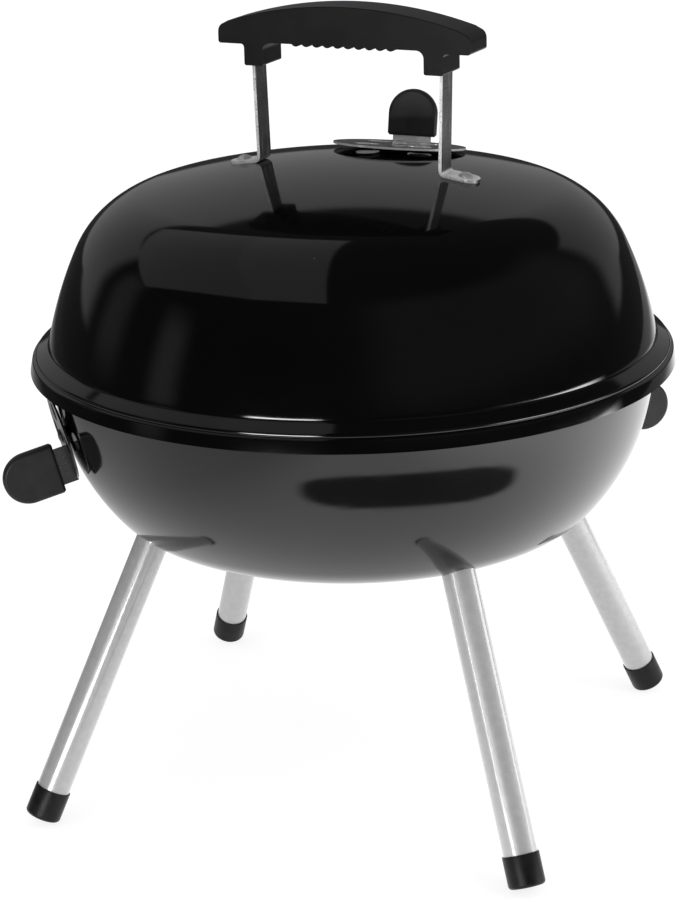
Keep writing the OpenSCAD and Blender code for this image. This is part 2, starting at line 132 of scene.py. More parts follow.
# Glows round the grill: az and el spans, strength, how far each edge fades, and the sphere's radius
GLOWS = {
    "glow_behind": ((115, 245), (1, 35), 0.30, 10, 1.5, 3.0),
    "glow_right": ((-5, 125), (0, 52), 0.11, 28, 16, 3.1),
    "wedge_near": ((-82, -62), (-6, 26), 0.26, 9, 10, 2.9),
    "wedge_far": ((-114, -92), (-4, 32), 0.15, 9, 12, 2.9),
    "strip_left": ((-38, -10), (-9, 0), 24.0, 4, 1.2, 1.8),
    "strip_right": ((42, 100), (-9, -3.4), 12.0, 14, 1.2, 1.8),
}


# ---- Stage helpers ----

def stage_point(right, away, up):
    """A point given from the camera's side, in the row frame."""
    return Matrix.Rotation(TURN, 3, "Z") @ Vector((right, away, up))


def hide_from_all_but_gloss(obj):
    obj.visible_camera = False
    obj.visible_diffuse = False
    obj.visible_shadow = False
    obj.visible_transmission = False
    obj.visible_volume_scatter = False


def new_object(name, points, faces):
    mesh = bpy.data.meshes.new(name)
    mesh.from_pydata([tuple(p) for p in points], [], faces)
    mesh.validate()
    obj = bpy.data.objects.new(name, mesh)
    bpy.context.scene.collection.objects.link(obj)
    return obj


def point_values(obj, name, values):
    attribute = obj.data.attributes.new(name, "FLOAT", "POINT")
    attribute.data.foreach_set("value", values)


def add_camera():
    data = bpy.data.cameras.new("camera")
    data.lens = LENS
    data.sensor_width = 36
    data.shift_x = SHIFT[0]
    data.shift_y = SHIFT[1]
    level_part = math.cos(PITCH)
    ahead = Vector((math.sin(YAW) * level_part, math.cos(YAW) * level_part, -math.sin(PITCH)))
    level = Vector((math.cos(YAW), -math.sin(YAW), 0))
    above = level.cross(ahead)
    right = level * math.cos(ROLL) + above * math.sin(ROLL)
    up = above * math.cos(ROLL) - level * math.sin(ROLL)
    aim = Matrix.Rotation(TURN, 3, "Z") @ Matrix((right, up, -ahead)).transposed()
    camera = bpy.data.objects.new("camera", data)
    place = Matrix.Translation(stage_point(0, -CAMERA_AWAY, CAMERA_UP))
    camera.matrix_world = place @ aim.to_4x4()
    bpy.context.scene.collection.objects.link(camera)
    bpy.context.scene.camera = camera


def emission_material(name, strength, fade=False):
    mat = bpy.data.materials.new(name)
    mat.use_nodes = True
    nodes, links = mat.node_tree.nodes, mat.node_tree.links
    nodes.clear()
    out = nodes.new("ShaderNodeOutputMaterial")
    glow = nodes.new("ShaderNodeEmission")
    glow.inputs["Strength"].default_value = strength
    if not fade:
        links.new(glow.outputs[0], out.inputs["Surface"])
        return mat
    clear = nodes.new("ShaderNodeBsdfTransparent")
    share = nodes.new("ShaderNodeAttribute")
    share.attribute_name = "share"
    mix = nodes.new("ShaderNodeMixShader")
    links.new(share.outputs["Fac"], mix.inputs["Fac"])
    links.new(clear.outputs[0], mix.inputs[1])
    links.new(glow.outputs[0], mix.inputs[2])
    links.new(mix.outputs[0], out.inputs["Surface"])
    return mat


def smooth_step(x):
    x = min(max(x, 0.0), 1.0)
    return x * x * (3 - 2 * x)


def edge_share(value, span, fade):
    return smooth_step(min(value - span[0], span[1] - value) / fade)


def sky_patch(name, az, el, strength, fade_az, fade_el, radius, centre_z=0.3):
    """A glow in the polish, on a sphere round the grill, at az from the camera to the right and at el."""
    nu = max(8, int((az[1] - az[0]) / 2))
    nv = max(6, int((el[1] - el[0]) / 0.7))
    points = []
    shares = []
    for j in range(nv + 1):
        e = el[0] + (el[1] - el[0]) * j / nv
        for i in range(nu + 1):
            a = az[0] + (az[1] - az[0]) * i / nu
            out = radius * math.cos(math.radians(e))
            up = centre_z + radius * math.sin(math.radians(e))
            points.append(stage_point(out * math.sin(math.radians(a)), -out * math.cos(math.radians(a)), up))
            shares.append(edge_share(a, az, fade_az) * edge_share(e, el, fade_el))
    faces = []
    for j in range(nv):
        for i in range(nu):
            k = j * (nu + 1) + i
            faces.append((k, k + 1, k + nu + 2, k + nu + 1))
    obj = new_object(name, points, faces)
    point_values(obj, "share", shares)
    obj.data.materials.append(emission_material(name, strength, fade=True))
    hide_from_all_but_gloss(obj)
    return obj


def reflected_floor(rings=150, spokes=180, reach=2.4):
    """What polish sees of the floor: brighter to the right, dark far off, with a dark patch in front."""
    points = []
    glow = []
    for j in range(rings + 1):
        r = reach * (j / rings) ** 1.4
        for i in range(spokes):
            az = -180 + 360 * i / spokes
            right = r * math.sin(math.radians(az))
            away = -r * math.cos(math.radians(az))
            points.append(stage_point(right, away, 0.001))
            light = FLOOR_GLOW
            light += 1.1 * smooth_step((right - 0.1) / 0.6)
            light -= 0.45 * smooth_step((away + 0.1) / 0.5)
            light -= 0.55 * smooth_step((-right - 0.05) / 0.35)
            light *= 1 - 0.9 * smooth_step((r - 0.8) / 0.9)
            u = abs(az - FLAG_AZ[0]) / FLAG_AZ[1]
            w = abs(r - FLAG_R[0]) / FLAG_R[1]
            inside = smooth_step((1.06 - (u ** 3 + w ** 3) ** (1 / 3)) / 0.12)
            glow.append(light * (1 - 0.9 * inside))
    faces = []
    for j in range(rings):
        for i in range(spokes):
            k = (i + 1) % spokes
            faces.append((j * spokes + i, j * spokes + k, (j + 1) * spokes + k, (j + 1) * spokes + i))
    obj = new_object("reflected_floor", points, faces)
    point_values(obj, "glow", glow)
    mat = emission_material("reflected_floor", 1.0)
    nodes, links = mat.node_tree.nodes, mat.node_tree.links
    level = nodes.new("ShaderNodeAttribute")
    level.attribute_name = "glow"
    links.new(level.outputs["Fac"], nodes["Emission"].inputs["Strength"])
    obj.data.materials.append(mat)
    hide_from_all_but_gloss(obj)
    return obj


def softbox_half(name, corners, strength):
    """One half of the overhead softbox, through the named corners."""
    points = []
    for corner in corners:
        right, away, up = SOFTBOX[corner]
        points.append(stage_point(right, away, up + SOFTBOX_UP))
    obj = new_object(name, points, [tuple(range(len(points)))])
    obj.data.materials.append(emission_material(name, strength))
    hide_from_all_but_gloss(obj)
    return obj


def add_world():
    world = bpy.data.worlds.new("studio")
    bpy.context.scene.world = world
    world.use_nodes = True
    nodes, links = world.node_tree.nodes, world.node_tree.links
    nodes.clear()
    out = nodes.new("ShaderNodeOutputWorld")
    light = nodes.new("ShaderNodeBackground")
    light.inputs["Strength"].default_value = WORLD_LIGHT
    dark = nodes.new("ShaderNodeBackground")
    dark.inputs["Strength"].default_value = WORLD_IN_GLOSS
    white = nodes.new("ShaderNodeBackground")
    white.inputs["Strength"].default_value = WORLD_BEHIND
    path = nodes.new("ShaderNodeLightPath")
    mix = nodes.new("ShaderNodeMixShader")
    seen = nodes.new("ShaderNodeMixShader")
    links.new(path.outputs["Is Glossy Ray"], mix.inputs["Fac"])
    links.new(light.outputs[0], mix.inputs[1])
    links.new(dark.outputs[0], mix.inputs[2])
    links.new(path.outputs["Is Camera Ray"], seen.inputs["Fac"])
    links.new(mix.outputs[0], seen.inputs[1])
    links.new(white.outputs[0], seen.inputs[2])
    links.new(seen.outputs[0], out.inputs["Surface"])


def area_light(name, place, size, power, only_on=(), height=None):
    """A soft light that shows in no reflection, or one that lights only the named nodes and shows in them."""
    data = bpy.data.lights.new(name, "AREA")
    data.shape = "ELLIPSE"
    data.size = size
    data.size_y = height or size
    data.energy = power
    obj = bpy.data.objects.new(name, data)
    position = stage_point(*place)
    obj.location = position
    obj.rotation_euler = (position - Vector((0, 0, 0.25))).to_track_quat("Z", "Y").to_euler()
    obj.visible_glossy = bool(only_on)
    bpy.context.scene.collection.objects.link(obj)
    if only_on:
        lit = bpy.data.collections.new(name)
        for node in only_on:
            lit.objects.link(frame["nodes"][node])
        obj.light_linking.receiver_collection = lit


def add_floor(sides=96):
    points = []
    for i in range(sides):
        a = 2 * math.pi * i / sides
        points.append((FLOOR_RADIUS * math.cos(a), FLOOR_RADIUS * math.sin(a), 0))
    floor = new_object("floor", points, [tuple(range(sides))])
    mat = bpy.data.materials.new("pale_floor")
    mat.use_nodes = True
    shader = mat.node_tree.nodes["Principled BSDF"]
    shader.inputs["Base Color"].default_value = (FLOOR_GREY, FLOOR_GREY, FLOOR_GREY, 1)
    shader.inputs["Roughness"].default_value = 1.0
    shader.inputs["Specular IOR Level"].default_value = 0.0
    shader.inputs["Emission Color"].default_value = (1, 1, 1, 1)
    shader.inputs["Emission Strength"].default_value = FLOOR_LIGHT
    # From below the floor is clear, so that the underside can be looked at
    nodes, links = mat.node_tree.nodes, mat.node_tree.links
    mix = nodes.new("ShaderNodeMixShader")
    links.new(nodes.new("ShaderNodeNewGeometry").outputs["Backfacing"], mix.inputs["Fac"])
    links.new(shader.outputs[0], mix.inputs[1])
    links.new(nodes.new("ShaderNodeBsdfTransparent").outputs[0], mix.inputs[2])
    links.new(mix.outputs[0], nodes["Material Output"].inputs["Surface"])
    floor.data.materials.append(mat)
    floor.visible_glossy = False
    return floor


# ---- Materials ----

SCRATCH_STRETCH = (14, 14, 0.6)
SCRATCH_LEAN = (0.15, 0.1, 0)
SCRATCH_COLOUR = (0.8, 0.8, 0.8)
SPECK_COLOUR = (0.12, 0.12, 0.12)


def noise_node(tree, scale, detail, coords):
    node = tree.nodes.new("ShaderNodeTexNoise")
    node.inputs["Scale"].default_value = scale
    node.inputs["Detail"].default_value = detail
    tree.links.new(coords, node.inputs["Vector"])
    return node


def mapped(tree, coords, stretch, angle):
    node = tree.nodes.new("ShaderNodeMapping")
    node.inputs["Scale"].default_value = stretch
    node.inputs["Rotation"].default_value = angle
    tree.links.new(coords, node.inputs["Vector"])
    return node.outputs["Vector"]


def ranged(tree, value, low, high, out_low=0.0, out_high=1.0):
    node = tree.nodes.new("ShaderNodeMapRange")
    node.inputs["From Min"].default_value = low
    node.inputs["From Max"].default_value = high
    node.inputs["To Min"].default_value = out_low
    node.inputs["To Max"].default_value = out_high
    tree.links.new(value, node.inputs["Value"])
    return node.outputs["Result"]


def blended(tree, share, first, second):
    """Two colours mixed by share; each is a socket or an RGB triple."""
    node = tree.nodes.new("ShaderNodeMix")
    node.data_type = "RGBA"
    tree.links.new(share, node.inputs["Factor"])
    for socket, value in ((node.inputs[6], first), (node.inputs[7], second)):
        if isinstance(value, tuple):
            socket.default_value = (*value, 1)
        else:
            tree.links.new(value, socket)
    return node.outputs[2]


def finish(name, low, high, rough, metallic=0.0, patch=40.0, grain=700.0, bump=0.1, depth=0.0001,
           coat=0.0, coat_rough=0.1, scratch=0.0, specks=0.0, facing=None, painted_shade=1.0, specular=0.5):
    """A material with patchy colour, grainy roughness and bump, and perhaps scratches and dust specks.

    Surfaces that face along the axis facing, 0 for X or 2 for Z, get painted shade: their colour is darkened
    to the share given next to facing, by which way they face and not by any lamp."""
    mat = bpy.data.materials.new(name)
    mat.use_nodes = True
    tree = mat.node_tree
    shader = tree.nodes["Principled BSDF"]
    shader.inputs["Metallic"].default_value = metallic
    shader.inputs["Specular IOR Level"].default_value = specular
    shader.inputs["Coat Weight"].default_value = coat
    shader.inputs["Coat Roughness"].default_value = coat_rough
    coords = tree.nodes.new("ShaderNodeTexCoord").outputs["Object"]
    wide = noise_node(tree, patch, 5.0, coords)
    fine = noise_node(tree, grain, 3.0, coords)
    colour = blended(tree, ranged(tree, wide.outputs["Fac"], 0.35, 0.65), low, high)
    # Painted shade: the colour is darkened on faces that look along the chosen axis
    if facing is not None:
        bits = tree.nodes.new("ShaderNodeSeparateXYZ")
        tree.links.new(tree.nodes.new("ShaderNodeNewGeometry").outputs["Normal"], bits.inputs["Vector"])
        size = tree.nodes.new("ShaderNodeMath")
        size.operation = "ABSOLUTE"
        tree.links.new(bits.outputs[facing], size.inputs[0])
        shade = tree.nodes.new("ShaderNodeMix")
        shade.data_type = "RGBA"
        shade.blend_type = "MULTIPLY"
        tree.links.new(ranged(tree, size.outputs[0], 0.75, 0.97), shade.inputs["Factor"])
        tree.links.new(colour, shade.inputs[6])
        shade.inputs[7].default_value = (painted_shade, painted_shade, painted_shade, 1)
        colour = shade.outputs[2]
    if scratch:
        lines = noise_node(tree, 55.0, 6.0, mapped(tree, coords, SCRATCH_STRETCH, SCRATCH_LEAN))
        mask = ranged(tree, lines.outputs["Fac"], 0.6, 0.72, 0.0, scratch)
        colour = blended(tree, mask, colour, SCRATCH_COLOUR)
    if specks:
        dots = tree.nodes.new("ShaderNodeTexVoronoi")
        dots.inputs["Scale"].default_value = 110.0
        tree.links.new(coords, dots.inputs["Vector"])
        near = ranged(tree, dots.outputs["Distance"], 0.04, 0.02)
        colour_bits = tree.nodes.new("ShaderNodeSeparateColor")
        tree.links.new(dots.outputs["Color"], colour_bits.inputs["Color"])
        rare = ranged(tree, colour_bits.outputs[0], 1 - specks, 1 - specks + 0.01)
        both = tree.nodes.new("ShaderNodeMath")
        both.operation = "MULTIPLY"
        tree.links.new(near, both.inputs[0])
        tree.links.new(rare, both.inputs[1])
        colour = blended(tree, both.outputs[0], colour, SPECK_COLOUR)
    tree.links.new(colour, shader.inputs["Base Color"])
    roughness = ranged(tree, fine.outputs["Fac"], 0.3, 0.7, rough[0], rough[1])
    tree.links.new(roughness, shader.inputs["Roughness"])
    if bump:
        node = tree.nodes.new("ShaderNodeBump")
        node.inputs["Strength"].default_value = bump
        node.inputs["Distance"].default_value = depth
        tree.links.new(fine.outputs["Fac"], node.inputs["Height"])
        tree.links.new(node.outputs["Normal"], shader.inputs["Normal"])
    return mat


LID_ENAMEL = finish("lid_enamel", (0.0008, 0.0008, 0.0009), (0.0016, 0.0016, 0.0017), (0.06, 0.085),
                    patch=9, grain=90, bump=0.03, depth=0.00012, specks=0.012)
BOWL_ENAMEL = finish("bowl_enamel", (0.0012, 0.0012, 0.0013), (0.0026, 0.0026, 0.0027), (0.07, 0.11),
                     patch=9, grain=90, bump=0.03, depth=0.00012)
LEG_STEEL = finish("leg_steel", (0.40, 0.40, 0.405), (0.44, 0.44, 0.445), (0.38, 0.44), metallic=0.2,
                   patch=260, grain=2400, bump=0.04, depth=0.00002, coat=1.0, coat_rough=0.07)
FOOT_RUBBER = finish("foot_rubber", (0.005, 0.005, 0.005), (0.010, 0.010, 0.010), (0.32, 0.48),
                     patch=160, grain=1800, bump=0.25, depth=0.0001, specular=0.16)
GRIP_PLASTIC = finish("grip_plastic", (0.005, 0.005, 0.005), (0.0085, 0.0085, 0.0085), (0.34, 0.46),
                      patch=70, grain=2600, bump=0.35, depth=0.00012, specular=0.16)
CAP_PLASTIC = finish("cap_plastic", (0.012, 0.012, 0.012), (0.019, 0.019, 0.019), (0.36, 0.48),
                     patch=90, grain=2600, bump=0.35, depth=0.00012, specular=0.25)
# The strap's faces that look along X, its wide faces, get painted shade, darkened to 0.13; the scratches are
# real wear
STRAP_ZINC = finish("strap_zinc", (0.66, 0.66, 0.665), (0.92, 0.92, 0.925), (0.24, 0.42), metallic=0.5,
                    patch=130, grain=900, bump=0.3, depth=0.00008, scratch=0.5, facing=0, painted_shade=0.13)
ZINC = finish("zinc", (0.45, 0.45, 0.46), (0.62, 0.62, 0.63), (0.25, 0.4), metallic=0.55, patch=300,
              grain=1500, bump=0.2)
# Chrome faces that look up or down get painted shade, darkened to 0.42 of their colour
CHROME = finish("chrome", (0.84, 0.84, 0.85), (0.92, 0.92, 0.93), (0.06, 0.14), metallic=0.6, patch=60,
                grain=600, bump=0.05, depth=0.00005, facing=2, painted_shade=0.42)
BLACK_STEEL = finish("black_steel", (0.004, 0.004, 0.004), (0.009, 0.009, 0.009), (0.22, 0.34), patch=120,
                     grain=900, bump=0.12)
GRATE_CHROME = finish("grate_chrome", (0.62, 0.62, 0.63), (0.8, 0.8, 0.81), (0.16, 0.3), metallic=0.55,
                      patch=80, grain=900, bump=0.1)
COAL_GRATE_STEEL = finish("coal_grate_steel", (0.22, 0.215, 0.21), (0.36, 0.35, 0.34), (0.4, 0.6),
                          metallic=0.5, patch=60, grain=700, bump=0.3)


# ---- Mesh helpers ----

# How many faces are matched to the outline at a time, and how alike two directions must be, as a cosine
BATCH = 4000
FACES_ALIKE = 0.7
WRONG_SIDE = 0.01
CUT_DEPTH = 6


def arc(centre, radius, start, end, steps):
    """Points (r, z) along an arc, angles in degrees."""
    angles = [math.radians(start + (end - start) * i / steps) for i in range(steps + 1)]
    return [(centre[0] + radius * math.cos(a), centre[1] + radius * math.sin(a)) for a in angles]


def step_from(point, length, angle):
    a = math.radians(angle)
    return (point[0] + length * math.cos(a), point[1] + length * math.sin(a))


def lathe(name, outline, segments=192):
    """A closed (r, z) outline in millimetres turned round Z."""
    points = []
    rings = []
    for r, z in outline:
        if r < 1e-6:
            rings.append([len(points)])
            points.append((0, 0, z * MM))
            continue
        rings.append(list(range(len(points), len(points) + segments)))
        for i in range(segments):
            a = 2 * math.pi * i / segments
            points.append((r * MM * math.cos(a), r * MM * math.sin(a), z * MM))
    faces = []
    for k, ring in enumerate(rings):
        following = rings[(k + 1) % len(rings)]
        if len(ring) == 1 and len(following) == 1:
            continue
        for i in range(segments):
            j = (i + 1) % segments
            if len(ring) == 1:
                faces.append((ring[0], following[j], following[i]))
            elif len(following) == 1:
                faces.append((ring[i], ring[j], following[0]))
            else:
                faces.append((ring[i], ring[j], following[j], following[i]))
    obj = new_object(name, points, faces)
    work = bmesh.new()
    work.from_mesh(obj.data)
    bmesh.ops.recalc_face_normals(work, faces=work.faces)
    work.to_mesh(obj.data)
    work.free()
    return obj


def read(items, field, width=1, kind=float):
    """One field of every item of a mesh, as rows of width numbers."""
    values = np.zeros(len(items) * width, kind)
    items.foreach_get(field, values)
    return values.reshape(-1, width) if width > 1 else values


def turned_normals(obj, outline, crease=35.0):
    """Gives a lathed mesh the exact normals of its outline, whatever holes were cut in it."""
    ends = np.array(outline, float) * MM
    along = np.roll(ends, -1, axis=0) - ends
    length = np.maximum(np.linalg.norm(along, axis=1), 1e-12)
    unit = along / length[:, None]
    area = np.sum(ends[:, 0] * np.roll(ends[:, 1], -1) - np.roll(ends[:, 0], -1) * ends[:, 1])
    side = 1.0 if area > 0 else -1.0
    flat = np.stack([unit[:, 1], -unit[:, 0]], axis=1) * side
    limit = math.cos(math.radians(crease))
    before = np.roll(flat, 1, axis=0)
    after = np.roll(flat, -1, axis=0)

    def joined(other):
        soft = (np.sum(flat * other, axis=1) > limit)[:, None]
        both = flat + other
        both /= np.maximum(np.linalg.norm(both, axis=1), 1e-9)[:, None]
        return np.where(soft, both, flat)

    first, last = joined(before), joined(after)
    mesh = obj.data
    mesh.shade_smooth()
    corners = read(mesh.loops, "vertex_index", 1, np.int64)
    co = read(mesh.vertices, "co", 3)
    totals = read(mesh.polygons, "loop_total", 1, np.int64)
    centres = read(mesh.polygons, "center", 3)
    face_normals = read(mesh.polygons, "normal", 3)
    middle = np.stack([np.hypot(centres[:, 0], centres[:, 1]), centres[:, 2]], axis=1)
    turn = np.arctan2(centres[:, 1], centres[:, 0])
    outward = face_normals[:, 0] * np.cos(turn) + face_normals[:, 1] * np.sin(turn)
    slope = np.stack([outward, face_normals[:, 2]], axis=1)

    # The outline's edge that each face came from: the nearest one that faces the same way
    nearest = np.zeros(len(middle), np.int64)
    agrees = np.zeros(len(middle), bool)
    for start in range(0, len(middle), BATCH):
        part = slice(start, start + BATCH)
        gap = middle[part, None, :] - ends[None]
        t = np.clip(np.sum(gap * unit[None], axis=2) / length[None], 0, 1)
        away = np.linalg.norm(gap - t[..., None] * along[None], axis=2)
        same = np.sum(slope[part, None, :] * flat[None], axis=2)
        away = away + np.where(same > FACES_ALIKE, 0.0, WRONG_SIDE)
        nearest[part] = np.argmin(away, axis=1)
        agrees[part] = np.take_along_axis(same, nearest[part][:, None], axis=1)[:, 0] > FACES_ALIKE
    face_of = np.repeat(np.arange(len(totals)), totals)
    segment = nearest[face_of]
    at = co[corners]
    flat_at = np.stack([np.hypot(at[:, 0], at[:, 1]), at[:, 2]], axis=1)
    t = np.sum((flat_at - ends[segment]) * unit[segment], axis=1) / length[segment]
    t = np.clip(t, 0, 1)[:, None]
    mixed = first[segment] * (1 - t) + last[segment] * t
    mixed /= np.maximum(np.linalg.norm(mixed, axis=1), 1e-9)[:, None]
    angle = np.where(flat_at[:, 0] > 1e-7, np.arctan2(at[:, 1], at[:, 0]), turn[face_of])
    normals = np.stack([mixed[:, 0] * np.cos(angle), mixed[:, 0] * np.sin(angle), mixed[:, 1]], axis=1)
    normals = np.where(agrees[face_of][:, None], normals, face_normals[face_of])
    mesh.normals_split_custom_set([tuple(n) for n in normals])


def rod(place, radius, sides=48):
    """A cutting cylinder along the local Z of a 4x4 place in millimetres; its points are in metres."""
    points = []
    for z in (-CUT_DEPTH, CUT_DEPTH):
        for i in range(sides):
            a = 2 * math.pi * i / sides
            points.append((place @ Vector((radius * math.cos(a), radius * math.sin(a), z))) * MM)
    faces = [tuple(range(sides - 1, -1, -1)), tuple(range(sides, 2 * sides))]
    for i in range(sides):
        j = (i + 1) % sides
        faces.append((i, j, sides + j, sides + i))
    return points, faces


def cut(obj, cutters):
    """Cuts separate closed shapes, lists of points and faces, out of obj."""
    points = []
    faces = []
    for own_points, own_faces in cutters:
        faces += [tuple(i + len(points) for i in face) for face in own_faces]
        points += own_points
    tool = new_object(obj.name + "_cutter", points, faces)
    modifier = obj.modifiers.new("cut", "BOOLEAN")
    modifier.operation = "DIFFERENCE"
    modifier.solver = "EXACT"
    modifier.object = tool
    depsgraph = bpy.context.evaluated_depsgraph_get()
    mesh = bpy.data.meshes.new_from_object(obj.evaluated_get(depsgraph))
    obj.modifiers.clear()
    old = obj.data
    obj.data = mesh
    bpy.data.meshes.remove(old)
    bpy.data.objects.remove(tool)


def rounded(corners, steps=8):
    """A closed outline with each corner (x, z, radius) rounded."""
    out = []
    n = len(corners)
    for k in range(n):
        here = Vector(corners[k][:2])
        radius = corners[k][2]
        back = Vector(corners[k - 1][:2]) - here
        on = Vector(corners[(k + 1) % n][:2]) - here
        if radius <= 0:
            out.append(tuple(here))
            continue
        back.normalize()
        on.normalize()
        half = back.angle(on) / 2
        reach = radius / math.tan(half)
        middle = here + (back + on).normalized() * (radius / math.sin(half))
        start = here + back * reach - middle
        end = here + on * reach - middle
        sweep = math.pi - 2 * half
        if start.x * end.y < start.y * end.x:
            sweep = -sweep
        for i in range(steps + 1):
            a = sweep * i / steps
            out.append((middle.x + start.x * math.cos(a) - start.y * math.sin(a),
                        middle.y + start.x * math.sin(a) + start.y * math.cos(a)))
    return out


def prism(name, outline, thickness, place, bevel, weights=None, segments=5):
    """An (x, z) outline thickened along Y, with rounded edges, at a 4x4 place; all in millimetres."""
    n = len(outline)
    points = [Vector((x, y, z)) for y in (-thickness / 2, thickness / 2) for x, z in outline]
    faces = [tuple(range(n)), tuple(range(2 * n - 1, n - 1, -1))]
    for i in range(n):
        j = (i + 1) % n
        faces.append((i, i + n, j + n, j))
    obj = new_object(name, [place @ p * MM for p in points], faces)
    work = bmesh.new()
    work.from_mesh(obj.data)
    bmesh.ops.recalc_face_normals(work, faces=work.faces)
    weight = work.edges.layers.float.new("bevel_weight_edge")
    work.verts.ensure_lookup_table()
    for edge in work.edges:
        a, b = sorted(v.index for v in edge.verts)
        if (a < n) == (b < n):
            edge[weight] = 1.0 if weights is None else min(weights[a % n], weights[b % n])
    work.to_mesh(obj.data)
    work.free()
    modifier = obj.modifiers.new("rounding", "BEVEL")
    modifier.limit_method = "WEIGHT"
    modifier.width = bevel * MM
    modifier.segments = segments
    modifier.use_clamp_overlap = True
    obj.data.shade_smooth()
    normals = obj.modifiers.new("normals", "WEIGHTED_NORMAL")
    normals.keep_sharp = True
    return obj


def dressed(obj, mat, body, slot, *nodes):
    """Gives a piece its material and its body, and hides the CAD nodes that it stands for. The argument slot
    is not used.
    """
    obj.data.materials.clear()
    obj.data.materials.append(mat)
    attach(obj, body)
    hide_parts(*nodes)
    return obj


def vent_place(joint_name, turn=0.0):
    """A vent's own frame in millimetres: Z out of the sheet, X down the wall."""
    joint = next(j for j in frame["joints"] if j["name"] == joint_name)
    position = Vector(joint["pos_m"]) / MM
    axis = Vector(joint["axis"])
    around = Matrix.Rotation(math.atan2(position.y, position.x), 4, "Z")
    lean = Matrix.Rotation(math.acos(axis.z), 4, "Y")
    return turned(Matrix.Translation(position) @ around @ lean, turn)


def turned(place, degrees):
    return place @ Matrix.Rotation(math.radians(degrees), 4, "Z")


def shifted(place, x=0.0, y=0.0, z=0.0):
    return place @ Matrix.Translation((x, y, z))


def vent_cuts(place, holes):
    """The rivet's hole and the air holes round it."""
    radius, distance, angles = holes
    return [rod(place, RIVET_HOLE)] + [rod(shifted(turned(place, a), distance), radius) for a in angles]


# ---- Kettle shells ----

def lid_outline():
    """The lid's section: the flange's outer face, the skin up to the crown, and back down inside."""
    c1 = step_from((LID_R, LID_Z), -LID_SIDE_ARC, LID_LEAN)
    p1 = step_from(c1, LID_SIDE_ARC, LID_SIDE_TURN)
    c2 = step_from(p1, -LID_CORNER_ARC, LID_SIDE_TURN)
    p2 = step_from(c2, LID_CORNER_ARC, LID_CORNER_TURN)
    crown = p2[0] / math.cos(math.radians(LID_CORNER_TURN))
    crown_c = (0, p2[1] - crown * math.sin(math.radians(LID_CORNER_TURN)))

    def skin(g):
        return (arc(c1, LID_SIDE_ARC + g, LID_LEAN, LID_SIDE_TURN - 0.5, 24)
                + arc(c2, LID_CORNER_ARC + g, LID_SIDE_TURN, LID_CORNER_TURN - 0.5, 40)
                + arc(crown_c, crown + g, LID_CORNER_TURN, 90, 24)[:-1] + [(0, crown_c[1] + crown + g)])

    low = LID_Z - FLANGE_DROP
    outer = ([(FLANGE_R, low)]
             + arc((FLANGE_R - 3.1, LID_Z - 9.2), 1.9, 12, 80, 12)
             + arc((FLANGE_R - 2.8, LID_Z - 6.3), 1, 265, 240, 6)
             + arc((FLANGE_R - 5.2, LID_Z - 6.6), 2, 15, 62, 8)
             + arc((LID_R + 2, LID_Z), 2, 245, 190, 8))
    inner = ([(LID_R + 0.4, LID_Z - 2.6)]
             + arc((FLANGE_R - 6, LID_Z - 8), 2, 62, 20, 6)
             + arc((FLANGE_R - 3.6, LID_Z - 10.8), 2, 70, 0, 8)
             + [(FLANGE_R - SHEET, low)])
    return outer + skin(0) + skin(-SHEET)[::-1] + inner


def bowl_outline():
    """The bowl's section: the skin up from the bottom, the rolled rim, and back down inside."""
    c1 = (BOWL_R - BOWL_SIDE_ARC, BOWL_WALL_Z)
    p1 = step_from(c1, BOWL_SIDE_ARC, -BOWL_SIDE_TURN)
    c2 = step_from(p1, -BOWL_CORNER_ARC, -BOWL_SIDE_TURN)
    p2 = step_from(c2, BOWL_CORNER_ARC, -BOWL_CORNER_TURN)
    base = p2[0] / math.cos(math.radians(BOWL_CORNER_TURN))
    base_c = step_from(p2, -base, -BOWL_CORNER_TURN)

    def skin(g):
        return ([(0, base_c[1] - base - g)]
                + arc(base_c, base + g, -90, -BOWL_CORNER_TURN - 0.5, 24)[1:]
                + arc(c2, BOWL_CORNER_ARC + g, -BOWL_CORNER_TURN, -BOWL_SIDE_TURN - 0.5, 24)
                + arc(c1, BOWL_SIDE_ARC + g, -BOWL_SIDE_TURN, 0, 40))

    rim = arc(CURL, CURL_R - SHEET, 180, -70, 24) + arc(CURL, CURL_R, -70, 180, 30)
    return skin(0) + rim + skin(-SHEET)[::-1]


def leg_place(angle):
    """A leg's frame in millimetres: Z up along the leg from the middle of its foot."""
    out = Matrix.Translation((LEG_END[0], 0, LEG_END[1]))
    return Matrix.Rotation(math.radians(angle), 4, "Z") @ out @ Matrix.Rotation(-LEG_TILT, 4, "Y")


def build_lid():
    outline = lid_outline()
    lid = lathe("lid_shell", outline)
    cut(lid, vent_cuts(vent_place("lid_damper_turn", LID_VENT_TURN), LID_VENT))
    turned_normals(lid, outline)
    dressed(lid, LID_ENAMEL, "lid", "lid_enamel", "lid")


def build_bowl():
    outline = bowl_outline()
    bowl = lathe("bowl_shell", outline)
    cuts = []
    for name in ("left_damper_turn", "right_damper_turn"):
        cuts += vent_cuts(vent_place(name), SIDE_VENT)
    length = math.hypot(LEG_TOP[0] - LEG_END[0], LEG_TOP[1] - LEG_END[1])
    for angle in LEG_ANGLES.values():
        cuts.append(rod(shifted(leg_place(angle), z=length), LEG_BOLT_HOLE))
    cut(bowl, cuts)
    turned_normals(bowl, outline)
    dressed(bowl, BOWL_ENAMEL, "kettle_base", "bowl_enamel", "bowl")


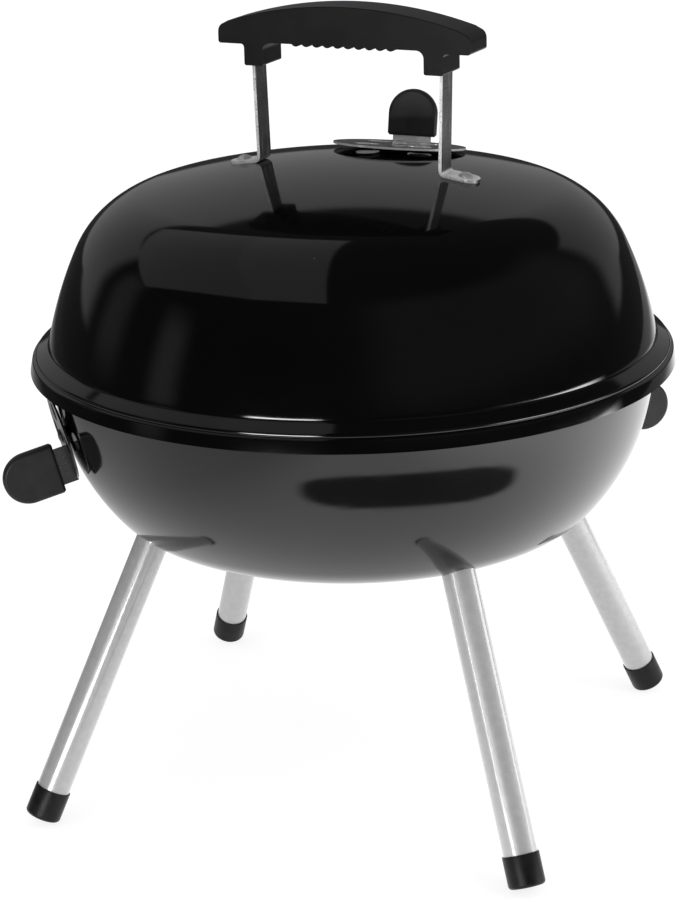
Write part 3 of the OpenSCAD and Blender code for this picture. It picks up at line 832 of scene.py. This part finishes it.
def build_feet():
    cap_r = 10.3
    height = 18
    edge = 2.1
    lip = 0.75
    floor = 3
    outline = [(0, 0)] + arc((cap_r - edge, edge), edge, -90, 0, 10)
    outline += arc((cap_r - lip / 2, height - lip / 2), lip / 2, 0, 180, 10)
    outline += [(cap_r - lip, floor), (0, floor)]
    for name, angle in LEG_ANGLES.items():
        foot = lathe("foot_cap_" + name, outline, 64)
        turned_normals(foot, outline)
        place = leg_place(angle)
        place.translation *= MM
        foot.data.transform(place)
        dressed(foot, FOOT_RUBBER, "kettle_base", "foot_rubber", "foot_" + name)


# ---- Handle and thumb caps ----

def grip_outline():
    """The grip's side view, the arched top and then the bosses, and each point's share of rounding."""
    end_r = 5
    end_z = GRIP_Z + 6.5
    half = GRIP_LENGTH / 2
    top_angle = math.degrees(math.acos((half - end_r - 1.5) / GRIP_ARCH))
    outline = arc((half - end_r, end_z), end_r, 0, 72, 8)
    outline += arc((0, GRIP_Z + GRIP_HEIGHT - GRIP_ARCH), GRIP_ARCH, top_angle, 180 - top_angle, 60)
    outline += arc((end_r - half, end_z), end_r, 108, 180, 8)
    low = GRIP_Z - BOSS_HEIGHT
    out = BOSS_X + BOSS_LENGTH / 2
    into = BOSS_X - BOSS_LENGTH / 2
    under = []
    for side in (-1, 1):
        corners = [(side * half, GRIP_Z, 1.6), (side * out, GRIP_Z, 2.0), (side * out, low, 1.2),
                   (side * into, low, 1.2), (side * into, GRIP_Z + GRIP_RECESS, 4.5)]
        under += corners if side < 0 else corners[::-1]
    below = rounded([(-half, end_z, 0)] + under + [(half, end_z, 0)])[1:-1]
    return outline + below, [1.0] * len(outline) + [0.28] * len(below)


def rib_outline():
    """The side view of the row of ribs between the bosses."""
    wave = []
    for i in range(RIB_COUNT):
        x = (i - (RIB_COUNT - 1) / 2) * RIB_STEP
        wave += arc((x, GRIP_Z + GRIP_RECESS + RIB_R - 1.5), RIB_R, 195, 345, 14)
    top = GRIP_Z + GRIP_RECESS + 2.5
    return [(wave[0][0], top)] + wave + [(wave[-1][0], top)]


def build_grip():
    handle = Matrix.Rotation(LID_TURN, 4, "Z") @ Matrix.Translation((GRIP_SHIFT, 0, 0))
    outline, weights = grip_outline()
    grip = prism("grip_moulding", outline, GRIP_WIDTH, handle, 4.0, weights, 6)
    dressed(grip, GRIP_PLASTIC, "lid", "grip_plastic", "handle_grip")
    ribs = prism("grip_ribs", rib_outline(), GRIP_WIDTH - 2 * RIB_INSET, handle, 0.6, None, 3)
    dressed(ribs, GRIP_PLASTIC, "lid", "grip_plastic", "handle_grip")


def build_cap(name, place, size, start, body, node):
    """A thumb cap with a round end, from start outwards along the local Z."""
    width, height, thick = size
    side = width / 2
    corner = 1.2
    outline = [(corner - side, start), (side - corner, start), (side, start + corner)]
    outline += arc((0, start + height - side), side, 0, 180, 40)
    outline += [(-side, start + corner)]
    cap = prism(name, outline, thick, place, 2.4, None, 6)
    dressed(cap, CAP_PLASTIC, body, "cap_plastic", node)


def build_caps():
    for side in ("left", "right"):
        place = shifted(vent_place(side + "_damper_turn"), *SIDE_CAP_AT)
        build_cap(side + "_thumb_cap", place, SIDE_CAP, 10.2, side + "_damper", side + "_damper_cap")
    place = turned(shifted(vent_place("lid_damper_turn", LID_VENT_TURN), LID_CAP_AT), 90)
    build_cap("lid_thumb_cap", place, LID_CAP, 5.2, "lid_damper", "lid_damper_cap")


# ---- The scene ----

bpy.context.scene.view_settings.view_transform = "Standard"
add_camera()
add_world()
stage = [add_floor()]

stage.append(softbox_half("softbox_left", ("far_left", "ridge_far", "ridge_near", "near_left"), 0.30))
stage.append(softbox_half("softbox_right", ("ridge_far", "far_right", "near_right", "ridge_near"), 0.34))
stage.append(reflected_floor())
for name, glow in GLOWS.items():
    stage.append(sky_patch(name, *glow))
leg_nodes = ["leg_" + name for name in LEG_ANGLES]
area_light("key", (1.6, -0.9, 1.6), 1.2, 9)
area_light("fill", (-1.6, -1.2, 1.2), 1.4, 4)
area_light("leg_streak", (-1.3, -1.45, 0.43), 0.15, 9, ["leg_front_right"], 1.9)
area_light("leg_side", (1.9, 0.4, 0.5), 0.9, 9, leg_nodes)

build_lid()
build_bowl()
build_feet()
build_grip()
build_caps()

finishes = {
    LEG_STEEL: leg_nodes,
    STRAP_ZINC: ["handle_strap_left", "handle_strap_right"],
    ZINC: ["leg_plugs", "leg_bolts", "leg_washers", "handle_nuts", "handle_washers", "handle_screws"],
    CHROME: ["lid_damper", "lid_vent_rivet"],
    BLACK_STEEL: ["left_damper", "right_damper", "left_vent_rivet", "right_vent_rivet", "grate_brackets"],
    GRATE_CHROME: ["cooking_grate"],
    COAL_GRATE_STEEL: ["charcoal_grate"],
}
for mat, names in finishes.items():
    for name in names:
        node = frame["nodes"][name]
        node.data.materials.clear()
        node.data.materials.append(mat)
